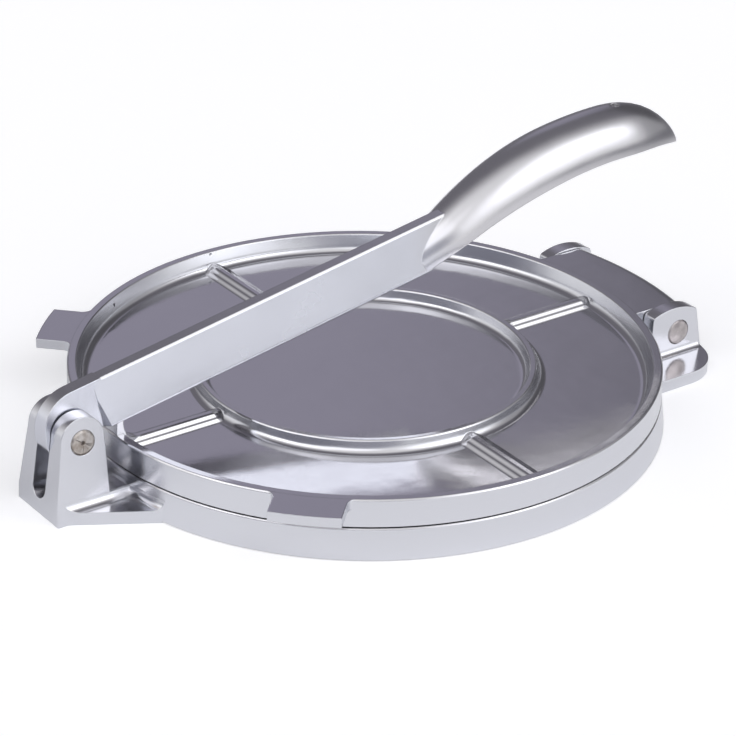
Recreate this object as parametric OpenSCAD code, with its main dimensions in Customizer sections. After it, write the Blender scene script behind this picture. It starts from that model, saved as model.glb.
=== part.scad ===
// Hinged tortilla press in cast aluminium: two round plates on a rear hinge,
// squeezed by a lever that turns in a fork at the front of the base.
// Origin: centre of the base disc on the table. +X points at the hinge, +Z up.

/* [Plates] */
// radius of both pressing faces at the parting line
plate_r = 100; // [90:1:115]
// height of the base casting
base_h = 11; // [10:0.5:14]
// how much the base spreads from its pressing face to the table
base_draft = 1.4; // [0.5:0.1:2]
// height of the top plate, underside to rim
top_h = 9.9; // [9:0.1:13]
// thickness of the pressing web in both castings
web_t = 3.6; // [3:0.1:4.2]
// width of the flat on top of the rim
rim_w = 3.2; // [2.6:0.1:5]
// fillet where the rim wall meets the floor
rim_fillet = 3; // [2:0.25:3.5]
// gap left between the closed plates
plate_gap = 0.3; // [0.2:0.05:0.6]

/* [Stiffening ring and ribs] */
// outer radius of the raised ring
ring_r = 57.7; // [52:0.1:64]
// width of the raised ring
ring_w = 2.4; // [1.6:0.1:4]
// height of the ring above the floor
ring_h = 4.2; // [3:0.1:4.8]
// height of the four ribs above the floor
rib_h = 2.2; // [1:0.1:2.5]
// width of a rib on its top
rib_w = 2; // [1.4:0.2:5]
// how far a rib's sloping sides spread at its foot
rib_spread = 3.8; // [2:0.1:4.5]

/* [Lift tabs] */
// how far the tabs stand out from the plate
tab_out = 11.7; // [8:0.1:20]
// width of a tab
tab_w = 23.2; // [18:0.5:30]
// thickness of a tab
tab_t = 3.4; // [2.5:0.1:5]
// angle of each tab from the lever side
tab_angle = 45.2; // [35:0.5:60]
// concave radius at the tab's root
tab_root_r = 3.6; // [2:0.2:5]

/* [Lever fork] */
// distance from the plate's edge to the lever pin
fork_out = 15.4; // [15:0.2:20]
// height of the lever pin above the table
lever_pin_z = 26.4; // [25:0.2:28]
// how far the lug runs past the lever pin
lug_past_pin = 11.2; // [10.6:0.1:14]
// half width of the lug's end
lug_half_w = 12.2; // [11.5:0.1:14]
// half width of the lug where it meets the disc
lug_root_half_w = 26.3; // [22:0.5:32]
// thickness of the lug and of the hinge feet
ledge_t = 4.4; // [3.5:0.1:5.5]
// radius of an ear's rounded top
ear_r = 7.8; // [7:0.1:8.4]
// half width of the fork at the pin
fork_half_w = 10.3; // [9.5:0.1:11]
// sideways draft of the fork's outer faces, in degrees
fork_draft = 4.8; // [1:0.2:6]
// width of the fork's slot
slot_w = 7.8; // [7:0.1:8.6]
// height of the slot's rounded bottom
slot_floor = 5.6; // [5:0.1:7]

/* [Hinge] */
// distance from the plate's edge to the hinge pin
hinge_out = 11.2; // [11:0.1:14]
// height of the hinge pin above the table
hinge_z = 12.1; // [11.6:0.1:12.6]
// half width across the two hinge ears
hinge_half_w = 32.2; // [28:0.2:38]
// thickness of a hinge ear
hinge_ear_t = 5.2; // [4:0.1:7]
// height of the hinge ears
hinge_ear_h = 21.9; // [20.5:0.1:23]
// half width of the two feet that carry the ears
foot_half_w = 47.4; // [44:0.2:52]
// how far the feet run out from the plate
foot_out = 25.9; // [24:0.1:30]
// how far the tongue's curved edge runs past the hinge pin
tongue_past_pin = 9.7; // [9.3:0.1:10.4]
// radius over the tongue's outer top edge
tongue_round = 6; // [4:0.25:6.5]

/* [Lever] */
// angle of the resting lever above the table
lever_angle = 10; // [9:0.25:12]
// height of the bar's top above the pin line
bar_top = 13.9; // [12.5:0.1:14.5]
// depth of the bar under the pin line at the fork
bar_bottom = 2.2; // [1.5:0.1:2.6]
// extra depth of the bar at the grip
bar_swell = 0.9; // [0:0.1:1.5]
// width of the bar along its top
bar_top_w = 5; // [4:0.2:6]
// width of the bar along its bottom
bar_bottom_w = 12; // [9:0.2:13]
// rounding along the bar's lower edges
bar_edge_r = 1.3; // [0.5:0.1:2]
// where the wide bar starts, from the pin
bar_start = 11; // [10.6:0.2:15]
// where the bar runs into the grip, from the pin
bar_end = 150; // [147:1:153]
// radius of the lever's round end below the pin
tongue_r = 9.3; // [8:0.1:10]

/* [Grip] */
// radius of the arch along the grip's lower edges
grip_arch_r = 142; // [130:1:160]
// crown of the arch, measured from the end of the bar
crown_past_bar = 48; // [45:0.5:51]
// height of the arch's crown above the pin line
grip_rise = 11.3; // [10.5:0.1:12.5]
// length of the grip past the bar
grip_len = 102; // [95:0.5:108]
// largest half width of the grip
grip_half_w = 12.4; // [11.5:0.1:14]
// largest height of the grip over its lower edges
grip_h = 14.3; // [12.5:0.1:15.5]
// half width of the grip just past the bar
neck_half_w = 8.8; // [8:0.1:10]
// height of the grip just past the bar
neck_h = 7.9; // [7:0.1:9]
// how far the tip bends down
tip_droop = 2.8; // [0:0.1:4]
// wall of the hollow grip
grip_wall = 2.8; // [2:0.1:4]
// diameter of the hanging hole
hang_hole_d = 3.6; // [3:0.1:6]
// distance of the hanging hole from the grip's tip
hang_hole_from_tip = 25; // [20:0.5:32]

/* [Pins and fits] */
// diameter of the lever pin
lever_pin_d = 8.4; // [6:0.1:9]
// diameter of the hinge pin
hinge_pin_d = 9; // [7:0.1:9.6]
// radial clearance of a pin in its bore
pin_fit = 0.05; // [0.02:0.01:0.09]
// side clearance of a moving part between its ears
side_gap = 0.3; // [0.2:0.05:0.5]
// gap between the resting lever and the pressing boss
rest_gap = 0.3; // [0.2:0.05:0.4]
// how far the pins stand out of their ears
pin_proud = 0.3; // [0.1:0.05:0.6]

/* [Hidden] */

round_fn = 180;
bore_fn = 72;
eps = 0.01;
edge_break = 0.5;
parting_break = 0.4;

tab_reach = plate_r + tab_out;
fork_x = plate_r + fork_out;
lug_reach = fork_x + lug_past_pin;
hinge_x = plate_r + hinge_out;
foot_reach = plate_r + foot_out;
tongue_reach = hinge_x + tongue_past_pin;

top_z0 = base_h + plate_gap;
top_z1 = top_z0 + top_h;
floor_z = top_z0 + web_t;
base_foot_r = plate_r + base_draft;
rim_lean = 1.2;
ring_in_r = ring_r - ring_w;
ring_fillet = 2.2;
ring_skirt_r = 3;
ring_draft = 14;
ring_break = 0.4;
rib_in = ring_r - 1;

boss_x0 = plate_r - 1;
boss_x1 = plate_r - 3.5;
boss_half_w = 3.2;
boss_foot_half_w = 3.8;
boss_sweep_r = 7.5;

ear_lift = 0.8;
web_h = ledge_t + 2.4;
fork_fillet = 3.2;
foot_fillet = 2.4;
wall_fillet_r = 3.4;
lug_corner_r = 4.5;
foot_corner_r = 16;
ear_corner_r = 1.6;
ear_crown_r = 23;
pin_chamfer = 0.5;
ear_back_lean = 2.6;

barrel_r = top_z1 - hinge_z;
tongue_half_w = hinge_half_w - hinge_ear_t - side_gap;
// tabs and tongue lie a touch under the rim's top
flush_drop = 0.03;

lever_tongue_w = slot_w - 2 * 0.2;
lever_end_r = 12;
lever_end_at = [3, bar_top - lever_end_r];
grip_mid = bar_end + crown_past_bar;
grip_end = bar_end + grip_len;
hang_hole_at = grip_end - hang_hole_from_tip;
grip_arch_z = grip_rise - grip_arch_r;
grip_start = bar_end - 12;
grip_hollow_start = bar_end + 3;
grip_tip_len = 31;
droop_len = 20;
shoulder_len = 16;
step_len = 2;

// ---------------------------------------------------------------- helpers

// points of an arc, from angle a0 to angle a1
function arc(c, r, a0, a1, n = 6) =
    [for (i = [0:n]) let(a = a0 + (a1 - a0) * i / n) c + r * [cos(a), sin(a)]];

function clamp(v) = max(0, min(1, v));

// a flat shape drawn in X and Z, given a thickness along Y about the middle
module side_plate(w) {
    rotate([90, 0, 0])
        linear_extrude(height = w, center = true)
            children();
}

// a flat shape drawn in Y and Z, run along X
module run_along_x(x0, x1) {
    translate([x0, 0, 0])
        rotate([90, 0, 90])
            linear_extrude(height = x1 - x0)
                children();
}

// a bore lying along Y
module along_y(d, len) {
    rotate([90, 0, 0])
        cylinder(d = d, h = len, center = true, $fn = bore_fn);
}

// how far a drafted wall of height h with a foot fillet r reaches past its top
function foot_off(h, r, draft) = (h - r + r * sin(draft)) * tan(draft) + r * cos(draft);

// concave corner filler, its two flats on the axes
module fillet_2d(r) {
    difference() {
        square(r);
        translate([r, r]) circle(r, $fn = 48);
    }
}

module mirror_y() {
    children();
    mirror([0, 1, 0]) children();
}

// ---------------------------------------------------------- plate castings

// half section of a dished casting standing on its pressing web:
// web from 0 to web_t, rim up to h, raised ring between floor and rim
module dish_section(h, r0, r1) {
    f = rim_fillet;
    wall_top = r1 - rim_w;
    wall_foot = wall_top - rim_lean;
    g = ring_fillet;
    k = ring_skirt_r;
    d = ring_draft;
    ring_top = web_t + ring_h;
    out_foot = ring_r + foot_off(ring_h, k, d);
    in_foot = ring_in_r - foot_off(ring_h, g, d);
    polygon(concat(
        [[0, 0], [r0 - parting_break, 0], [r0, parting_break]],
        [[r1, h - edge_break], [r1 - edge_break, h]],
        [[wall_top + 0.3, h], [wall_top, h - 0.3]],
        arc([wall_foot - f, web_t + f], f, 0, -90),
        arc([out_foot, web_t + k], k, 270, 180 + d),
        [[ring_r, ring_top - ring_break], [ring_r - ring_break, ring_top]],
        [[ring_in_r + ring_break, ring_top], [ring_in_r, ring_top - ring_break]],
        arc([in_foot, web_t + g], g, -d, -90, 5),
        [[0, web_t]]
    ));
}

// four ribs from the ring to the rim, crowned on top with even sloping sides
module ribs(in_r, out_r) {
    foot = rib_w / 2 + rib_spread;
    top = rib_w / 2 - 0.2;
    shoulder = rib_w / 2 + 0.6;
    for (turn = [0:90:270])
        rotate([0, 0, turn])
            run_along_x(in_r, out_r)
                translate([0, web_t])
                    polygon([
                        [-foot, -1], [foot, -1], [foot, 0], [shoulder, rib_h - 0.4],
                        [top, rib_h], [-top, rib_h], [-shoulder, rib_h - 0.4], [-foot, 0]
                    ]);
}

module dish(h, r0, r1) {
    rotate_extrude($fn = round_fn) dish_section(h, r0, r1);
    ribs(rib_in, r1 - rim_w - rim_lean + 0.6);
}

// -------------------------------------------------------------- base plate

// outline of the lug that carries the lever fork
module lug_outline() {
    c = lug_corner_r;
    a = atan((lug_root_half_w - lug_half_w) / (lug_reach - plate_r));
    cx = -lug_reach + c;
    cy = lug_half_w - c;
    polygon(concat(
        arc([cx, cy], c, 180, 90 + a),
        [[-plate_r + 2, lug_root_half_w + 1], [-plate_r + 12, lug_root_half_w + 4]],
        [[-plate_r + 12, -lug_root_half_w - 4], [-plate_r + 2, -lug_root_half_w - 1]],
        arc([cx, -cy], c, 270 - a, 180)
    ));
}

// outline of the two hinge feet before the gap between them is cut
module feet_outline() {
    c = foot_corner_r;
    cy = foot_half_w - c;
    cx = sqrt(pow(foot_reach - c, 2) - cy * cy);
    far = foot_reach * 1.1;
    intersection() {
        circle(foot_reach, $fn = round_fn);
        polygon([[0, 0], far * [cx, cy] / (foot_reach - c), [far, 0], far * [cx, -cy] / (foot_reach - c)]);
    }
    translate([plate_r - 16, -foot_half_w]) square([cx - plate_r + 16, 2 * foot_half_w]);
    for (s = [-1, 1])
        translate([cx, s * cy]) circle(c, $fn = 64);
}

// fillet ring where the ledges meet the disc's wall
module wall_fillet(r) {
    rotate_extrude($fn = round_fn)
        translate([base_foot_r - 0.8, ledge_t - eps]) fillet_2d(r);
}

// half width of the fork's outer face at a height
function fork_w(z) = fork_half_w + (lever_pin_z - z) * tan(fork_draft);

module fork() {
    ez = lever_pin_z + ear_lift;
    difference() {
        union() {
            intersection() {
                side_plate(4 * fork_half_w) {
                    translate([-fork_x, ez]) circle(ear_r, $fn = bore_fn);
                    polygon([
                        [-lug_reach, 0], [-lug_reach, ledge_t + 1], [-fork_x - ear_r, ez],
                        [-fork_x + ear_r, ez], [-fork_x + ear_r + 0.4, ledge_t], [-fork_x + ear_r + 0.4, 0]
                    ]);
                    translate([-fork_x, 0]) square([fork_x - plate_r + 2, web_h]);
                }
                run_along_x(-lug_reach - 1, -plate_r + 3)
                    polygon([
                        [-fork_w(0), 0], [fork_w(0), 0],
                        [fork_w(lever_pin_z + 10), lever_pin_z + 10], [-fork_w(lever_pin_z + 10), lever_pin_z + 10]
                    ]);
            }
            // fillets from the ears down to the lug
            intersection() {
                mirror_y()
                    run_along_x(-lug_reach + 0.2, -plate_r)
                        translate([fork_w(ledge_t) - 0.25, ledge_t - eps]) fillet_2d(fork_fillet);
                translate([0, 0, -1]) linear_extrude(height = 20) lug_outline();
            }
        }
        // slot with a round bottom, open at both ends
        translate([-lug_reach - 1, -slot_w / 2, slot_floor + slot_w / 2])
            cube([lug_reach - plate_r + 3, slot_w, 40]);
        translate([-lug_reach - 1, 0, slot_floor + slot_w / 2])
            rotate([0, 90, 0]) cylinder(d = slot_w, h = lug_reach - plate_r + 3, $fn = bore_fn);
        translate([-fork_x, 0, lever_pin_z]) along_y(lever_pin_d + 2 * pin_fit, 60);
    }
}

// side view of a hinge ear, with a crowned top
module hinge_ear_outline() {
    x0 = hinge_x - 11.6;
    x1 = hinge_x + 8;
    r = ear_corner_r;
    crown_x = (x0 + x1) / 2 - 0.6;
    crown_z = hinge_ear_h - ear_crown_r;
    reach = ear_crown_r - r;
    a0 = acos((x1 - r - crown_x) / reach);
    a1 = acos((x0 + r - crown_x) / reach);
    c1 = [x1 - r, crown_z + reach * sin(a0)];
    c0 = [x0 + r, crown_z + reach * sin(a1)];
    polygon(concat(
        [[x0 - 1, 0], [x1 + ear_back_lean, 0], [x1 + ear_back_lean, ledge_t]],
        arc(c1, r, 8, a0, 4),
        arc([crown_x, crown_z], ear_crown_r, a0, a1, 10),
        arc(c0, r, a1, 180, 4)
    ));
}

module hinge_feet() {
    ear_mid = hinge_half_w - hinge_ear_t / 2;
    difference() {
        union() {
            linear_extrude(height = ledge_t) feet_outline();
            mirror_y()
                translate([0, ear_mid, 0]) side_plate(hinge_ear_t) hinge_ear_outline();
            mirror_y()
                run_along_x(hinge_x - 12.4, hinge_x + 9.6)
                    translate([hinge_half_w - eps, ledge_t - eps]) fillet_2d(foot_fillet);
        }
        translate([plate_r - 20, -hinge_half_w + hinge_ear_t, -1])
            cube([foot_out + 30, 2 * (hinge_half_w - hinge_ear_t), base_h + hinge_ear_h]);
        translate([hinge_x, 0, hinge_z]) along_y(hinge_pin_d + 2 * pin_fit, 3 * hinge_half_w);
    }
}

module base_plate() {
    color([0.78, 0.78, 0.80])
    union() {
        // the dish is cast upside down: web at the top, rim on the table
        translate([0, 0, base_h]) mirror([0, 0, 1])
            dish(base_h, plate_r + 0.2, base_foot_r);
        difference() {
            union() {
                linear_extrude(height = ledge_t) lug_outline();
                fork();
                hinge_feet();
                intersection() {
                    wall_fillet(wall_fillet_r);
                    translate([0, 0, -1])
                        linear_extrude(height = 20) {
                            lug_outline();
                            difference() {
                                feet_outline();
                                translate([0, -hinge_half_w + hinge_ear_t])
                                    square([2 * foot_reach, 2 * (hinge_half_w - hinge_ear_t)]);
                            }
                        }
                }
            }
            // the disc stays hollow under its web
            translate([0, 0, -1])
                cylinder(r = base_foot_r - rim_w - rim_lean, h = base_h - web_t + 1, $fn = round_fn);
        }
    }
}

// --------------------------------------------------------------- top plate

module tab() {
    r = tab_root_r;
    root = sqrt(plate_r * plate_r - pow(tab_w / 2 + r, 2));
    linear_extrude(height = tab_t) {
        intersection() {
            circle(tab_reach, $fn = round_fn);
            translate([plate_r - 1.5, -tab_w / 2]) square([30, tab_w]);
        }
        mirror_y()
            translate([root - 0.6, tab_w / 2 - eps]) fillet_2d(r);
    }
}

// section of the tongue's outer part: flat top, rounded outer edge
module tongue_section() {
    r = tongue_round;
    polygon(concat(
        [[plate_r - 1.5, 0], [tongue_reach, 0]],
        arc([tongue_reach - r, top_z1 - flush_drop - 0.2 - r], r, 0, 90, 8),
        [[plate_r - 1.5, top_z1 - flush_drop]]
    ));
}

module hinge_tongue() {
    intersection() {
        rotate_extrude($fn = round_fn) tongue_section();
        side_plate(2 * tongue_half_w) {
            translate([hinge_x, hinge_z]) circle(barrel_r, $fn = 96);
            translate([plate_r - 6, top_z0]) square([hinge_out + 6, top_h]);
            translate([hinge_x - 1, hinge_z]) square([barrel_r + 3, barrel_r + 1]);
        }
    }
}

// height of the resting lever's underside over a point of the plate
function under_lever(x) =
    lever_pin_z - bar_bottom * cos(lever_angle)
    + (fork_x + x - bar_bottom * sin(lever_angle)) * tan(lever_angle - atan(bar_swell / bar_end));

// pad on the rim that takes the lever's load, sweeping down into the rib
module press_boss() {
    xa = -boss_x0 + 0.5;
    xb = -boss_x1 - 0.3;
    z1 = under_lever(xa) - rest_gap;
    z2 = under_lever(xb) - rest_gap;
    r = boss_sweep_r;
    zc = floor_z + rib_h - 0.05 + r;
    toe = -boss_x1 + r;
    low = floor_z - 1;
    intersection() {
        side_plate(4 * boss_foot_half_w)
            polygon(concat(
                [[-boss_x0 - 0.5, low], [-boss_x0, z1 - 0.7], [xa, z1], [xb, z2], [-boss_x1, z2 - 0.4]],
                arc([toe, zc], r, 180, 270, 9),
                [[toe, low]]
            ));
        translate([0, 0, low])
            linear_extrude(height = 30)
                polygon([
                    [-plate_r, -boss_foot_half_w], [-boss_x1 + 0.8, -boss_half_w], [toe, -rib_w / 2],
                    [toe, rib_w / 2], [-boss_x1 + 0.8, boss_half_w], [-plate_r, boss_foot_half_w]
                ]);
        cylinder(r = plate_r, h = 3 * top_z1, $fn = round_fn);
    }
}

module top_plate() {
    color([0.86, 0.86, 0.88])
    difference() {
        union() {
            translate([0, 0, top_z0]) dish(top_h, plate_r + 0.1, plate_r);
            for (s = [-1, 1])
                rotate([0, 0, 180 + s * tab_angle])
                    translate([0, 0, top_z1 - flush_drop - tab_t]) tab();
            hinge_tongue();
            press_boss();
        }
        translate([hinge_x, 0, hinge_z]) along_y(hinge_pin_d + 2 * pin_fit, 3 * hinge_half_w);
    }
}

// ------------------------------------------------------------------- lever
// drawn with the pin at the origin and the bar along +X, then tipped up

// share of full size between the neck and the arch's crown
function fullness(x) = sin(90 * clamp((x - grip_start) / (grip_mid - grip_start)));

// how the grip closes towards its tip
function tip_share(x) = pow(1 - pow(clamp((x - grip_end + grip_tip_len) / grip_tip_len), 2), 0.84);

// half width of the grip: it leaves the bar's own width over the shoulder
function grip_w(x) =
    let(neck = neck_half_w + (grip_half_w - neck_half_w) * fullness(x), bar = bar_bottom_w / 2)
    tip_share(x) * (bar + (neck - bar) * sin(90 * clamp((x - grip_start) / shoulder_len)));

// height of the grip over its lower edges
function grip_q(x) = tip_share(x) * (neck_h + (grip_h - neck_h) * fullness(x));

// angle along the arch, zero at its crown
function arch_angle(x) = asin((x - grip_mid) / grip_arch_r);

// height of the lower edges, with the tip bent down
function edge_z(x) = grip_arch_z + grip_arch_r * cos(arch_angle(x))
    - tip_droop * pow(clamp((x - grip_end + droop_len) / droop_len), 2);

// point of a half-round section that stands square to the arch
function grip_point(x, w, h, u, drop) =
    let(a = arch_angle(x), q = max(0, h) * sin(u) - drop)
    [x + q * sin(a), -max(0, w) * cos(u), edge_z(x) + q * cos(a)];

// solid lofted through half-round sections: xs are places, ws half widths, hs heights
module half_round_loft(xs, ws, hs, steps, drop) {
    n = len(xs);
    m = steps + 1;
    pts = [for (i = [0:n - 1]) for (j = [0:steps])
        grip_point(xs[i], ws[i], hs[i], 180 * j / steps, (j == 0 || j == steps) ? drop : 0)];
    skin = [for (i = [0:n - 2]) for (j = [0:steps - 1])
        let(a = i * m + j, b = a + 1, c = a + m, d = c + 1) each [[a, b, c], [b, d, c]]];
    base = [for (i = [0:n - 2])
        let(a = i * m, b = a + steps, c = a + m, d = c + steps) each [[a, c, b], [b, c, d]]];
    end0 = [[for (j = [steps:-1:0]) j]];
    end1 = [[for (j = [0:steps]) (n - 1) * m + j]];
    polyhedron(points = pts, faces = concat(skin, base, end0, end1), convexity = 4);
}

module grip_outer() {
    tip_start = grip_end - grip_tip_len;
    body_start = grip_start + shoulder_len;
    xs = concat(
        [for (i = [0:8]) grip_start + shoulder_len * i / 8],
        [for (i = [1:18]) body_start + (tip_start - body_start) * i / 18],
        [for (i = [1:13]) tip_start + (grip_tip_len - 0.2) * sin(90 * i / 13)]
    );
    half_round_loft(xs, [for (x = xs) grip_w(x)], [for (x = xs) grip_q(x)], 28, 0);
}

module grip_hollow() {
    x0 = grip_hollow_start;
    x1 = grip_end - 5;
    xs = [for (i = [0:18]) x0 + (x1 - x0) * sin(90 * i / 18)];
    near_end = [for (x = xs) sqrt(1 - pow(1 - clamp((x - x0 + 3) / 9), 2))];
    half_round_loft(
        xs,
        [for (i = [0:18]) max(0.6, (grip_w(xs[i]) - grip_wall) * near_end[i])],
        [for (i = [0:18]) max(0.6, (grip_q(xs[i]) - grip_wall) * near_end[i])],
        20, 1.5
    );
}

// height of the bar's underside along the lever
function bar_low(x) = -bar_bottom - bar_swell * x / bar_end;

// side view of the tongue that turns in the fork
module lever_tongue_outline() {
    circle(tongue_r, $fn = bore_fn);
    intersection() {
        translate(lever_end_at) circle(lever_end_r, $fn = 96);
        translate([-20, 0]) square([40, 40]);
    }
    polygon([[0, bar_low(0)], [bar_start + step_len + 1, bar_low(bar_start)],
        [bar_start + step_len + 1, bar_top], [lever_end_at[0], bar_top], [0, bar_top / 2]]);
}

// section of the bar: drafted sides, rounded lower edges, small breaks on top
module bar_section() {
    b = bar_bottom_w / 2;
    t = bar_top_w / 2;
    r = bar_edge_r;
    lo = bar_low(bar_end);
    lean = atan((b - t) / (bar_top - lo));
    polygon(concat(
        arc([b - r, lo + r], r, -90, lean, 5),
        [[t, bar_top - 0.6], [t - 0.6, bar_top], [-t + 0.6, bar_top], [-t, bar_top - 0.6]],
        arc([-b + r, lo + r], r, 180 - lean, 270, 5)
    ));
}

module lever_bar() {
    x1 = bar_end + 8;
    intersection() {
        side_plate(40)
            polygon([
                [bar_start, bar_low(bar_start)], [grip_start, bar_low(grip_start)],
                [bar_end, edge_z(bar_end) + 0.5], [x1, edge_z(x1) + 1],
                [x1, bar_top - 4], [bar_end, bar_top], [bar_start, bar_top]
            ]);
        run_along_x(bar_start, x1) bar_section();
        // the sides start at the tongue and widen over the step
        translate([0, 0, -20])
            linear_extrude(height = 50)
                polygon([
                    [bar_start, -lever_tongue_w / 2], [bar_start, lever_tongue_w / 2],
                    [bar_start + step_len, bar_bottom_w / 2], [x1 + 1, bar_bottom_w / 2 + 1],
                    [x1 + 1, -bar_bottom_w / 2 - 1], [bar_start + step_len, -bar_bottom_w / 2]
                ]);
    }
}

module lever_body() {
    tt = lever_tongue_w / 2;
    union() {
        intersection() {
            side_plate(40) lever_tongue_outline();
            run_along_x(-30, bar_start + step_len + 1)
                polygon([
                    [-tt, -30], [tt, -30], [tt, 2], [bar_top_w / 2, bar_top],
                    [-bar_top_w / 2, bar_top], [-tt, 2]
                ]);
        }
        lever_bar();
        difference() {
            grip_outer();
            grip_hollow();
        }
    }
}

function hang_x() =
    -fork_x + hang_hole_at * cos(lever_angle) - (grip_rise + grip_h) * sin(lever_angle);

module lever() {
    color([0.82, 0.82, 0.85])
    difference() {
        translate([-fork_x, 0, lever_pin_z]) rotate([0, -lever_angle, 0]) lever_body();
        translate([-fork_x, 0, lever_pin_z]) along_y(lever_pin_d + 2 * pin_fit, 60);
        translate([hang_x(), 0, lever_pin_z]) cylinder(d = hang_hole_d, h = 120, $fn = 48);
    }
}

// -------------------------------------------------------------------- pins

// round pin along Y with chamfered ends
module pin(d, len) {
    rotate([90, 0, 0])
        rotate_extrude($fn = bore_fn)
            polygon([
                [0, -len / 2], [d / 2 - pin_chamfer, -len / 2], [d / 2, -len / 2 + pin_chamfer],
                [d / 2, len / 2 - pin_chamfer], [d / 2 - pin_chamfer, len / 2], [0, len / 2]
            ]);
}

module lever_pin() {
    color([0.68, 0.63, 0.56])
    translate([-fork_x, 0, lever_pin_z])
        pin(lever_pin_d, 2 * (fork_half_w + pin_proud));
}

module hinge_pin() {
    color([0.72, 0.68, 0.66])
    translate([hinge_x, 0, hinge_z])
        pin(hinge_pin_d, 2 * (hinge_half_w + pin_proud));
}

base_plate();
top_plate();
lever();
lever_pin();
hinge_pin();
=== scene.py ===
import bpy, math
from mathutils import Vector, Matrix

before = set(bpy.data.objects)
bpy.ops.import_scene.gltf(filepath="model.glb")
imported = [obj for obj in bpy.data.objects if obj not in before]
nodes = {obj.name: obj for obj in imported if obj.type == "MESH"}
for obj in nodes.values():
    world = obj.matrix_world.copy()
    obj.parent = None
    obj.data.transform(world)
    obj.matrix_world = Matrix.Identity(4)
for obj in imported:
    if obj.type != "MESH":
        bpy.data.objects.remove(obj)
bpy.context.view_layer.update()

scene = bpy.context.scene
print("frame loaded:", sorted(nodes))


# ---- small helpers ----

def toLinear(hexColour):
    # sRGB hex to linear light: c/12.92 below 0.04045, else ((c+0.055)/1.055)^2.4
    parts = [int(hexColour[i:i + 2], 16) / 255 for i in (1, 3, 5)]
    return tuple(c / 12.92 if c <= 0.04045 else ((c + 0.055) / 1.055) ** 2.4 for c in parts) + (1.0,)


def addNode(tree, kind, settings=None, values=None, links=None):
    # one node, with its settings, its socket values and what feeds its sockets;
    # sockets 6 and 7 and output 2 of a colour Mix are its A, its B and its result
    made = tree.nodes.new(kind)
    for name, value in (settings or {}).items():
        setattr(made, name, value)
    for name, value in (values or {}).items():
        made.inputs[name].default_value = value
    for name, source in (links or {}).items():
        tree.links.new(source, made.inputs[name])
    return made


# ---- camera ----

cameraSet = {
    "place": (-0.521848, -0.732290, 0.475073),
    "right": (0.8048206, -0.5929994, 0.0248087),
    "up": (0.2584759, 0.3878187, 0.8847524),
    "lens": 146.327,        # mm on a 36 mm sensor
    "shift": (-0.10, 0.05),
    "sees": (0.05, 20.0),   # nearest and farthest distance
}


def makeCamera(s):
    data = bpy.data.cameras.new("pressCamera")
    data.lens, data.sensor_width = s["lens"], 36.0
    data.shift_x, data.shift_y = s["shift"]
    data.clip_start, data.clip_end = s["sees"]
    cam = bpy.data.objects.new("pressCamera", data)
    scene.collection.objects.link(cam)
    right, up = Vector(s["right"]), Vector(s["up"])
    back = right.cross(up)
    turn = Matrix((right, up, back)).transposed().to_4x4()
    cam.matrix_world = Matrix.Translation(Vector(s["place"])) @ turn
    scene.camera = cam


makeCamera(cameraSet)
print("camera set")


# ---- materials ----

castFinish = {
    "tone": "#dbdadc",        # bright aluminium
    "toneDark": "#d2d1d4",
    "cloudMm": 32.0,          # size of the soft patches between the two tones
    "toneLitWall": "#dbdce1",    # painted light: upright faces are painted paler and bluer, as faces that catch more light
    "litWallTo": (1.0, 1.1),     # where along X the painted light on the walls ends, in metres
    "roughFloor": 0.09,       # level faces are buffed almost to a mirror
    "roughWall": 0.22,        # walls keep the skin of the mould
    "roughVary": (-0.03, 0.05),
    "wallSlope": (0.75, 0.35),  # upright share of the normal where a wall begins and is full
    "edgeMm": 0.45,           # rounding that catches light along every edge
    "grainMm": 0.55,          # sand grain left by the mould, drawn coarse enough to show
    "grainBump": {"Strength": 0.18, "Distance": 0.00006},
    "waveMm": 14.0,           # slow unevenness of a hand-polished casting
    "waveBump": {"Strength": 0.22, "Distance": 0.0005},
    "pitMm": 8.0,             # spacing of the small casting pits on the walls
    "pitEdge": (0.04, 0.09),  # where a pit's side begins and ends, as a share of that spacing
    "pitShare": 0.78,         # cells below this share carry no pit
    "pitBump": {"Strength": 0.6, "Distance": 0.0003},
    "pit": "#6a6870",
}

# the ribs' moulded flanks, in metres: two steps by distance from the middle line, and the
# reach from the plate's axis between which they run
ribFinish = {
    "steps": ((0.0029, 0.0011), (0.0047, 0.0029)),
    "from": (0.0595, 0.0615), "to": (0.0945, 0.0920),
    "stepHeight": 0.00052,
}


def ribFlanks(tree, coords, upright, s):
    # 2 on a rib's crown, 1 half way down, 0 at its foot: two smoothsteps of the distance to the
    # nearer of the X and Y axes, kept between the ring and the rim and on upper faces
    def ease(source, ends):
        return addNode(tree, "ShaderNodeMapRange", {"interpolation_type": "SMOOTHSTEP"},
                       {"From Min": ends[0], "From Max": ends[1]}, {"Value": source}).outputs["Result"]

    parts = addNode(tree, "ShaderNodeSeparateXYZ", links={"Vector": coords}).outputs
    sides = [addNode(tree, "ShaderNodeMath", {"operation": "ABSOLUTE"}, None, {0: parts[axis]}).outputs[0]
             for axis in ("X", "Y")]
    across = addNode(tree, "ShaderNodeMath", {"operation": "MINIMUM"}, None,
                     {0: sides[0], 1: sides[1]}).outputs[0]
    level = addNode(tree, "ShaderNodeVectorMath", {"operation": "MULTIPLY"}, {1: (1, 1, 0)},
                    {0: coords}).outputs[0]
    reach = addNode(tree, "ShaderNodeVectorMath", {"operation": "LENGTH"}, None, {0: level}).outputs["Value"]
    upper = addNode(tree, "ShaderNodeMath", {"operation": "GREATER_THAN"}, {1: 0.5}, {0: upright}).outputs[0]
    height = addNode(tree, "ShaderNodeMath", {"operation": "ADD"}, None,
                     {0: ease(across, s["steps"][0]), 1: ease(across, s["steps"][1])}).outputs[0]
    for limit in (upper, ease(reach, s["from"]), ease(reach, s["to"])):
        height = addNode(tree, "ShaderNodeMath", {"operation": "MULTIPLY"}, None,
                         {0: height, 1: limit}).outputs[0]
    return height


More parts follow.
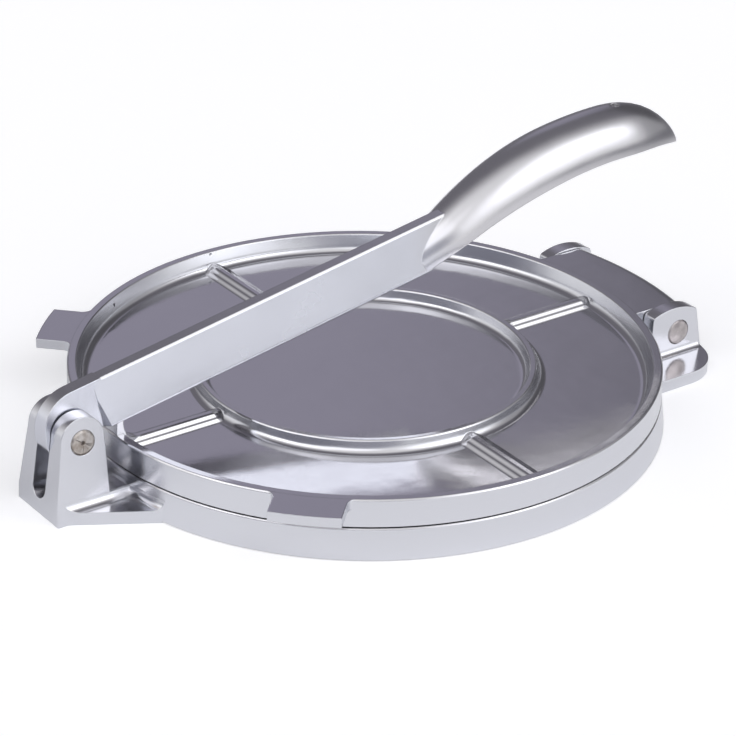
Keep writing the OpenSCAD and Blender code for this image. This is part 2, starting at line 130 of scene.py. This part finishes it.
def castAluminium(name, s, ribs=None):
    # cast aluminium, tumbled and buffed by hand: long soft reflections that wander a little,
    # a fine grain in the sheen, upright walls painted paler as painted light, and small dark casting pits on the
    # upright walls
    mat = bpy.data.materials.new(name)
    mat.use_nodes = True
    tree = mat.node_tree
    tree.nodes.clear()
    coords = addNode(tree, "ShaderNodeTexCoord").outputs["Object"]
    normal = addNode(tree, "ShaderNodeNewGeometry").outputs["Normal"]
    upright = addNode(tree, "ShaderNodeSeparateXYZ", links={"Vector": normal}).outputs["Z"]
    steep = addNode(tree, "ShaderNodeMath", {"operation": "ABSOLUTE"}, links={0: upright}).outputs[0]
    wall = addNode(tree, "ShaderNodeMapRange", {"clamp": True},
                   {"From Min": s["wallSlope"][0], "From Max": s["wallSlope"][1]},
                   {"Value": steep}).outputs["Result"]

    wave = addNode(tree, "ShaderNodeTexNoise", None,
                   {"Scale": 1000 / s["waveMm"], "Detail": 2.0, "Roughness": 0.45}, {"Vector": coords})
    grain = addNode(tree, "ShaderNodeTexNoise", None,
                    {"Scale": 1000 / s["grainMm"], "Detail": 3.0, "Roughness": 0.6}, {"Vector": coords})
    cloud = addNode(tree, "ShaderNodeTexNoise", None,
                    {"Scale": 1000 / s["cloudMm"], "Detail": 4.0, "Roughness": 0.55}, {"Vector": coords})

    # pits: small cells, only some of which are struck, and only on walls
    cells = addNode(tree, "ShaderNodeTexVoronoi", {"feature": "F1"},
                    {"Scale": 1000 / s["pitMm"]}, {"Vector": coords})
    pitShape = addNode(tree, "ShaderNodeMapRange", {"clamp": True},
                       {"From Min": s["pitEdge"][0], "From Max": s["pitEdge"][1], "To Min": 1.0, "To Max": 0.0},
                       {"Value": cells.outputs["Distance"]}).outputs["Result"]
    pick = addNode(tree, "ShaderNodeSeparateColor", links={"Color": cells.outputs["Color"]}).outputs["Red"]
    struck = addNode(tree, "ShaderNodeMath", {"operation": "GREATER_THAN"}, {1: s["pitShare"]},
                     {0: pick}).outputs[0]
    pitHere = addNode(tree, "ShaderNodeMath", {"operation": "MULTIPLY"}, links={0: pitShape, 1: struck}).outputs[0]
    pits = addNode(tree, "ShaderNodeMath", {"operation": "MULTIPLY"}, links={0: pitHere, 1: wall}).outputs[0]

    buffed = addNode(tree, "ShaderNodeMix", {"data_type": "RGBA"},
                     {6: toLinear(s["toneDark"]), 7: toLinear(s["tone"])}, {0: cloud.outputs["Fac"]}).outputs[2]
    along = addNode(tree, "ShaderNodeSeparateXYZ", links={"Vector": coords}).outputs["X"]
    # painted light: upright faces are painted in a paler, bluer tone as lit faces, up to a limit along X
    skin = addNode(tree, "ShaderNodeMapRange", {"interpolation_type": "SMOOTHSTEP"},
                   {"From Min": s["litWallTo"][1], "From Max": s["litWallTo"][0]}, {"Value": along}).outputs["Result"]
    litWall = addNode(tree, "ShaderNodeMath", {"operation": "MULTIPLY"}, None, {0: wall, 1: skin}).outputs[0]
    tone = addNode(tree, "ShaderNodeMix", {"data_type": "RGBA"}, {7: toLinear(s["toneLitWall"])},
                   {0: litWall, 6: buffed}).outputs[2]
    pitted = addNode(tree, "ShaderNodeMix", {"data_type": "RGBA"}, {7: toLinear(s["pit"])},
                     {0: pits, 6: tone}).outputs[2]

    roughBase = addNode(tree, "ShaderNodeMapRange", None,
                        {"To Min": s["roughFloor"], "To Max": s["roughWall"]}, {"Value": wall}).outputs["Result"]
    roughVary = addNode(tree, "ShaderNodeMapRange", None,
                        {"From Min": 0.3, "From Max": 0.7, "To Min": s["roughVary"][0], "To Max": s["roughVary"][1]},
                        {"Value": cloud.outputs["Fac"]}).outputs["Result"]
    rough = addNode(tree, "ShaderNodeMath", {"operation": "ADD"}, links={0: roughBase, 1: roughVary}).outputs[0]

    rounded = addNode(tree, "ShaderNodeBevel", {"samples": 6}, {"Radius": s["edgeMm"] / 1000})
    shape = rounded.outputs["Normal"]
    if ribs:
        shape = addNode(tree, "ShaderNodeBump", None, {"Strength": 1.0, "Distance": ribs["stepHeight"]},
                        {"Height": ribFlanks(tree, coords, upright, ribs), "Normal": shape}).outputs[0]
    bumpWave = addNode(tree, "ShaderNodeBump", None, s["waveBump"],
                       {"Height": wave.outputs["Fac"], "Normal": shape})
    bumpGrain = addNode(tree, "ShaderNodeBump", None, s["grainBump"],
                        {"Height": grain.outputs["Fac"], "Normal": bumpWave.outputs["Normal"]})
    bumpPit = addNode(tree, "ShaderNodeBump", {"invert": True}, s["pitBump"],
                      {"Height": pits, "Normal": bumpGrain.outputs["Normal"]})

    shader = addNode(tree, "ShaderNodeBsdfPrincipled", None, {"Metallic": 1.0},
                     {"Base Color": pitted, "Roughness": rough,
                      "Normal": bumpPit.outputs["Normal"]})
    addNode(tree, "ShaderNodeOutputMaterial", links={"Surface": shader.outputs["BSDF"]})
    return mat


leverPinFinish = {
    "tone": "#d2cdc8", "toneDark": "#a89e95", "crack": "#5d544e",
    "rough": 0.30,
    "axis": (-0.1154, 0.0264),   # x and z of the pin's axis
    "radius": 0.0042,
    "crackShare": 0.58,          # share of the face left without stake marks
    "punch": 1.0,                # depth of the centre punch
    "domeMm": 0.2,               # how far the hammered end bulges
}
hingePinFinish = {
    **leverPinFinish,
    "tone": "#c4bebd", "toneDark": "#a29c9c",
    "axis": (0.1112, 0.0121), "radius": 0.0045,
    "crackShare": 0.80, "punch": 0.0, "domeMm": 0.5,
}


def stakedPin(name, s):
    # plated steel rod, cropped at its ends: the lever's pin is hammered over, which leaves radial
    # stake marks round a centre punch, and the hinge's pin only bulges a little
    mat = bpy.data.materials.new(name)
    mat.use_nodes = True
    tree = mat.node_tree
    tree.nodes.clear()
    coords = addNode(tree, "ShaderNodeTexCoord").outputs["Object"]
    fromAxis = addNode(tree, "ShaderNodeVectorMath", {"operation": "SUBTRACT"},
                       {1: (s["axis"][0], 0, s["axis"][1])}, {0: coords}).outputs[0]
    flat = addNode(tree, "ShaderNodeVectorMath", {"operation": "MULTIPLY"}, {1: (1, 0, 1)},
                   {0: fromAxis}).outputs[0]
    reach = addNode(tree, "ShaderNodeVectorMath", {"operation": "LENGTH"}, None, {0: flat}).outputs["Value"]
    spoke = addNode(tree, "ShaderNodeVectorMath", {"operation": "NORMALIZE"}, None, {0: flat}).outputs[0]
    # streaks: noise that depends on the direction from the axis only, kept off the edge
    streak = addNode(tree, "ShaderNodeTexNoise", None, {"Scale": 4.2, "Detail": 3.0, "Roughness": 0.65},
                     {"Vector": spoke}).outputs["Fac"]
    sharp = addNode(tree, "ShaderNodeMapRange", None,
                    {"From Min": s["crackShare"], "From Max": s["crackShare"] + 0.07},
                    {"Value": streak}).outputs["Result"]
    middle = addNode(tree, "ShaderNodeMapRange", {"interpolation_type": "SMOOTHSTEP"},
                     {"From Min": s["radius"] * 0.96, "From Max": s["radius"] * 0.5},
                     {"Value": reach}).outputs["Result"]
    cracks = addNode(tree, "ShaderNodeMath", {"operation": "MULTIPLY"}, None, {0: sharp, 1: middle}).outputs[0]
    punch = addNode(tree, "ShaderNodeMapRange", {"interpolation_type": "SMOOTHSTEP"},
                    {"From Min": s["radius"] * 0.26, "From Max": s["radius"] * 0.06, "To Max": s["punch"]},
                    {"Value": reach}).outputs["Result"]
    struck = addNode(tree, "ShaderNodeMath", {"operation": "MAXIMUM"}, None, {0: cracks, 1: punch}).outputs[0]

    marks = addNode(tree, "ShaderNodeTexNoise", None, {"Scale": 1000 / 0.5, "Detail": 3.0, "Roughness": 0.6},
                    {"Vector": coords}).outputs["Fac"]
    blot = addNode(tree, "ShaderNodeTexNoise", None, {"Scale": 1000 / 2.4, "Detail": 3.0}, {"Vector": coords})
    cloudy = addNode(tree, "ShaderNodeMapRange", None, {"From Min": 0.35, "From Max": 0.65},
                     {"Value": blot.outputs["Fac"]}).outputs["Result"]
    tone = addNode(tree, "ShaderNodeMix", {"data_type": "RGBA"},
                   {6: toLinear(s["toneDark"]), 7: toLinear(s["tone"])}, {0: cloudy}).outputs[2]
    marked = addNode(tree, "ShaderNodeMix", {"data_type": "RGBA"}, {7: toLinear(s["crack"])},
                     {0: struck, 6: tone}).outputs[2]
    bulge = addNode(tree, "ShaderNodeMapRange", {"interpolation_type": "SMOOTHSTEP"},
                    {"From Min": s["radius"] * 1.3, "From Max": 0.0}, {"Value": reach}).outputs["Result"]
    dome = addNode(tree, "ShaderNodeBump", None, {"Strength": 1.0, "Distance": s["domeMm"] / 1000},
                   {"Height": bulge}).outputs[0]
    bumpBlot = addNode(tree, "ShaderNodeBump", None, {"Strength": 0.5, "Distance": 0.0003},
                       {"Height": blot.outputs["Fac"], "Normal": dome}).outputs[0]
    bumpStruck = addNode(tree, "ShaderNodeBump", {"invert": True}, {"Strength": 0.6, "Distance": 0.0005},
                         {"Height": struck, "Normal": bumpBlot}).outputs[0]
    bump = addNode(tree, "ShaderNodeBump", None, {"Strength": 0.3, "Distance": 0.0001},
                   {"Height": marks, "Normal": bumpStruck}).outputs[0]
    rough = addNode(tree, "ShaderNodeMapRange", None,
                    {"To Min": s["rough"] - 0.08, "To Max": s["rough"] + 0.1}, {"Value": marks}).outputs["Result"]
    shader = addNode(tree, "ShaderNodeBsdfPrincipled", None, {"Metallic": 1.0},
                     {"Base Color": marked, "Roughness": rough, "Normal": bump})
    addNode(tree, "ShaderNodeOutputMaterial", links={"Surface": shader.outputs["BSDF"]})
    return mat


def dress(node, mat):
    data = nodes[node].data
    data.materials.clear()
    data.materials.append(mat)


dress("base_plate", castAluminium("castAluminiumBase", {**castFinish, "roughFloor": 0.15}))
dress("top_plate", castAluminium("castAluminiumPlate", castFinish, ribFinish))
# painted light: on the lever only the bar's upright faces are painted paler, as lit faces
dress("lever", castAluminium("castAluminiumLever",
                             {**castFinish, "roughFloor": 0.20, "roughWall": 0.24, "pitShare": 1.0,
                              "toneLitWall": "#e2e4ec", "litWallTo": (0.012, 0.034)}))
dress("lever_pin", stakedPin("platedLeverPin", leverPinFinish))
dress("hinge_pin", stakedPin("steelHingePin", hingePinFinish))
print("materials on")


# ---- smooth skins ----

skinSet = {
    "joinWithin": 0.000005,   # metres between corners that are one
    "smoothUpTo": 19,         # degrees: the ribs' flanks stay crisp
    "levelWeight": 90,
}


def smoothSkin(s):
    # joins the loose triangles of a CAD face and shades across every edge flatter than the limit
    group = bpy.data.node_groups.new("smoothSkin", "GeometryNodeTree")
    group.interface.new_socket("Geometry", in_out="INPUT", socket_type="NodeSocketGeometry")
    group.interface.new_socket("Geometry", in_out="OUTPUT", socket_type="NodeSocketGeometry")
    start = addNode(group, "NodeGroupInput").outputs[0]
    joined = addNode(group, "GeometryNodeMergeByDistance", None, {"Distance": s["joinWithin"]}, {"Geometry": start})
    allSmooth = addNode(group, "GeometryNodeSetShadeSmooth", {"domain": "FACE"}, {"Shade Smooth": True},
                        {"Geometry": joined.outputs[0]})
    angle = addNode(group, "GeometryNodeInputMeshEdgeAngle").outputs["Unsigned Angle"]
    flat = addNode(group, "FunctionNodeCompare", {"data_type": "FLOAT", "operation": "LESS_EQUAL"},
                   {"B": math.radians(s["smoothUpTo"])}, {"A": angle})
    edges = addNode(group, "GeometryNodeSetShadeSmooth", {"domain": "EDGE"}, None,
                    {"Geometry": allSmooth.outputs[0], "Shade Smooth": flat.outputs[0]})
    addNode(group, "NodeGroupOutput", links={0: edges.outputs[0]})
    return group


skin = smoothSkin(skinSet)
for nodeObject in nodes.values():
    nodeObject.modifiers.new("smoothSkin", "NODES").node_group = skin
    level = nodeObject.modifiers.new("levelFaces", "WEIGHTED_NORMAL")  # keeps the large flat faces flat
    level.mode, level.weight, level.keep_sharp = "FACE_AREA", skinSet["levelWeight"], True
print("skins smoothed")


# ---- floor, world and lamps ----

stageSet = {
    "floor": "#e9e9ea",
    "side": 3.0,
    "seenGlow": 0.40,               # lifts the floor to white where nothing shades it
    "mirrorGlow": 0.26,             # keeps the floor pale in the walls' reflections
    "dimFrom": 0.16, "dimTo": 0.46, # where along X the mirrored table is painted darker, as painted shade
    # painted shade: the colour the mirrored table fades to far along X
    "floorShadeFar": "#8e8e92",
    "shadeWay": (-0.6, 0.8, 0),     # away from the lamps
    "shadeFrom": 0.03, "shadeTo": 0.11, "shade": 0.7,
    "room": (0.92, 0.92, 0.94, 1),  # the room away from the lobes
}

# what the metal mirrors: each lobe fades from "full" to "gone" degrees round its aim,
# an azimuth from +X and a height above the horizon
lobes = {
    "softboxFront": {"aim": (-66, 33), "full": 15, "gone": 33, "tone": (1.64, 1.65, 1.72, 1)},
    "softboxLeft": {"aim": (-172, 45), "full": 10, "gone": 24, "tone": (1.60, 1.60, 1.64, 1)},
    "softboxBehind": {"aim": (-136, 41), "full": 9, "gone": 21, "tone": (1.45, 1.45, 1.50, 1)},
    "cameraSide": {"aim": (-127, 5), "full": 14, "gone": 30, "tone": (0.36, 0.36, 0.41, 1)},
    "leftWall": {"aim": (-170, 2), "full": 22, "gone": 38, "tone": (0.20, 0.20, 0.245, 1)},
    "greyWall": {"aim": (55, 35), "full": 36, "gone": 76, "tone": (0.185, 0.18, 0.205, 1)},
    "paleWall": {"aim": (53, 27), "full": 10, "gone": 18, "tone": (0.335, 0.322, 0.40, 1)},
    "dimRight": {"aim": (-8, 8), "full": 14, "gone": 36, "tone": (0.38, 0.38, 0.40, 1)},
    "darkCorner": {"aim": (24, 22), "full": 12, "gone": 30, "tone": (0.11, 0.108, 0.12, 1)},
}


def makeFloor(s):
    half = s["side"] / 2
    data = bpy.data.meshes.new("floor")
    corners = [(-half, -half, 0), (half, -half, 0), (half, half, 0), (-half, half, 0)]
    data.from_pydata(corners, [], [(0, 1, 2, 3)])
    floor = bpy.data.objects.new("floor", data)
    scene.collection.objects.link(floor)
    mat = bpy.data.materials.new("paleFloor")
    mat.use_nodes = True
    tree = mat.node_tree
    tree.nodes.clear()
    path = addNode(tree, "ShaderNodeLightPath")
    seen = addNode(tree, "ShaderNodeMath", {"operation": "MAXIMUM"},
                   links={0: path.outputs["Is Camera Ray"], 1: path.outputs["Is Transmission Ray"]}).outputs[0]
    # the table runs out of light toward +X, and only its mirror image shows that
    place = addNode(tree, "ShaderNodeTexCoord").outputs["Object"]
    along = addNode(tree, "ShaderNodeSeparateXYZ", links={"Vector": place}).outputs["X"]
    near = addNode(tree, "ShaderNodeMapRange", {"interpolation_type": "SMOOTHSTEP"},
                   {"From Min": s["dimTo"], "From Max": s["dimFrom"]}, {"Value": along}).outputs["Result"]
    far = addNode(tree, "ShaderNodeMath", {"operation": "SUBTRACT"}, {0: 1.0}, {1: near}).outputs[0]
    dim = addNode(tree, "ShaderNodeMath", {"operation": "MULTIPLY"}, None,
                  {0: far, 1: path.outputs["Is Glossy Ray"]}).outputs[0]
    pale = addNode(tree, "ShaderNodeMix", {"data_type": "RGBA"},
                   {6: toLinear(s["floor"]), 7: toLinear(s["floorShadeFar"])}, {0: dim}).outputs[2]
    matte = addNode(tree, "ShaderNodeBsdfDiffuse", None, None, {"Color": pale})
    glossyGlow = addNode(tree, "ShaderNodeMath", {"operation": "MULTIPLY"}, {1: s["mirrorGlow"]},
                         {0: path.outputs["Is Glossy Ray"]}).outputs[0]
    # the mirrored glow also fades on the side away from the lamps
    behind = addNode(tree, "ShaderNodeVectorMath", {"operation": "DOT_PRODUCT"}, {1: s["shadeWay"]}, {0: place})
    lit = addNode(tree, "ShaderNodeMapRange", {"interpolation_type": "SMOOTHSTEP"},
                  {"From Min": s["shadeFrom"], "From Max": s["shadeTo"], "To Min": 1.0, "To Max": 1 - s["shade"]},
                  {"Value": behind.outputs["Value"]}).outputs["Result"]
    litNear = addNode(tree, "ShaderNodeMath", {"operation": "MULTIPLY"}, None, {0: lit, 1: near}).outputs[0]
    mirrored = addNode(tree, "ShaderNodeMath", {"operation": "MULTIPLY"}, None,
                       {0: glossyGlow, 1: litNear}).outputs[0]
    lift = addNode(tree, "ShaderNodeMath", {"operation": "MULTIPLY_ADD"}, {1: s["seenGlow"]},
                   {0: seen, 2: mirrored}).outputs[0]
    glow = addNode(tree, "ShaderNodeEmission", None, {"Color": (1, 1, 1, 1)}, {"Strength": lift})
    both = addNode(tree, "ShaderNodeAddShader", links={0: matte.outputs[0], 1: glow.outputs[0]})
    addNode(tree, "ShaderNodeOutputMaterial", links={"Surface": both.outputs[0]})
    data.materials.append(mat)


def lobe(tree, way, s):
    # 1 within "full" degrees of the aim, falling smoothly to 0 at "gone" degrees
    azimuth, height = (math.radians(a) for a in s["aim"])
    aim = (math.cos(height) * math.cos(azimuth), math.cos(height) * math.sin(azimuth), math.sin(height))
    along = addNode(tree, "ShaderNodeVectorMath", {"operation": "DOT_PRODUCT"}, {1: aim}, {0: way})
    fall = addNode(tree, "ShaderNodeMapRange", {"interpolation_type": "SMOOTHSTEP"},
                   {"From Min": math.cos(math.radians(s["gone"])), "From Max": math.cos(math.radians(s["full"]))},
                   {"Value": along.outputs["Value"]})
    return fall.outputs["Result"]


def makeWorld(s, lobes):
    # the camera sees plain white, and everything else the room with its lobes
    world = bpy.data.worlds.new("softRoom")
    scene.world = world
    world.use_nodes = True
    tree = world.node_tree
    tree.nodes.clear()
    path = addNode(tree, "ShaderNodeLightPath")
    way = addNode(tree, "ShaderNodeTexCoord").outputs["Generated"]
    plain = addNode(tree, "ShaderNodeRGB")
    plain.outputs[0].default_value = s["room"]
    tone = plain.outputs[0]
    for lobeSet in lobes.values():
        tone = addNode(tree, "ShaderNodeMix", {"data_type": "RGBA"}, {7: lobeSet["tone"]},
                       {0: lobe(tree, way, lobeSet), 6: tone}).outputs[2]
    room = addNode(tree, "ShaderNodeBackground", None, {"Strength": 1.0}, {"Color": tone})
    white = addNode(tree, "ShaderNodeBackground", None, {"Color": (1, 1, 1, 1), "Strength": 1.0})
    mixed = addNode(tree, "ShaderNodeMixShader",
                    links={0: path.outputs["Is Camera Ray"], 1: room.outputs[0], 2: white.outputs[0]})
    addNode(tree, "ShaderNodeOutputWorld", links={"Surface": mixed.outputs[0]})


lamps = {
    "lampFront": {"place": (0.60, -1.10, 0.95), "aim": (0, 0, 0.02), "size": (0.9, 0.7), "power": 1.2},
    "lampLeft": {"place": (-1.20, 0.30, 0.90), "aim": (0, 0, 0.02), "size": (0.9, 0.7), "power": 1.0},
}


def makeLamp(name, s):
    data = bpy.data.lights.new(name, "AREA")
    data.shape = "RECTANGLE"
    data.size, data.size_y = s["size"]
    data.energy = s["power"]
    lamp = bpy.data.objects.new(name, data)
    scene.collection.objects.link(lamp)
    place, aim = Vector(s["place"]), Vector(s["aim"])
    lamp.location = place
    lamp.rotation_euler = (aim - place).to_track_quat("-Z", "Y").to_euler()


makeFloor(stageSet)
makeWorld(stageSet, lobes)
for lampName, lampSet in lamps.items():
    makeLamp(lampName, lampSet)
scene.view_settings.view_transform = "Standard"
print("stage lit")
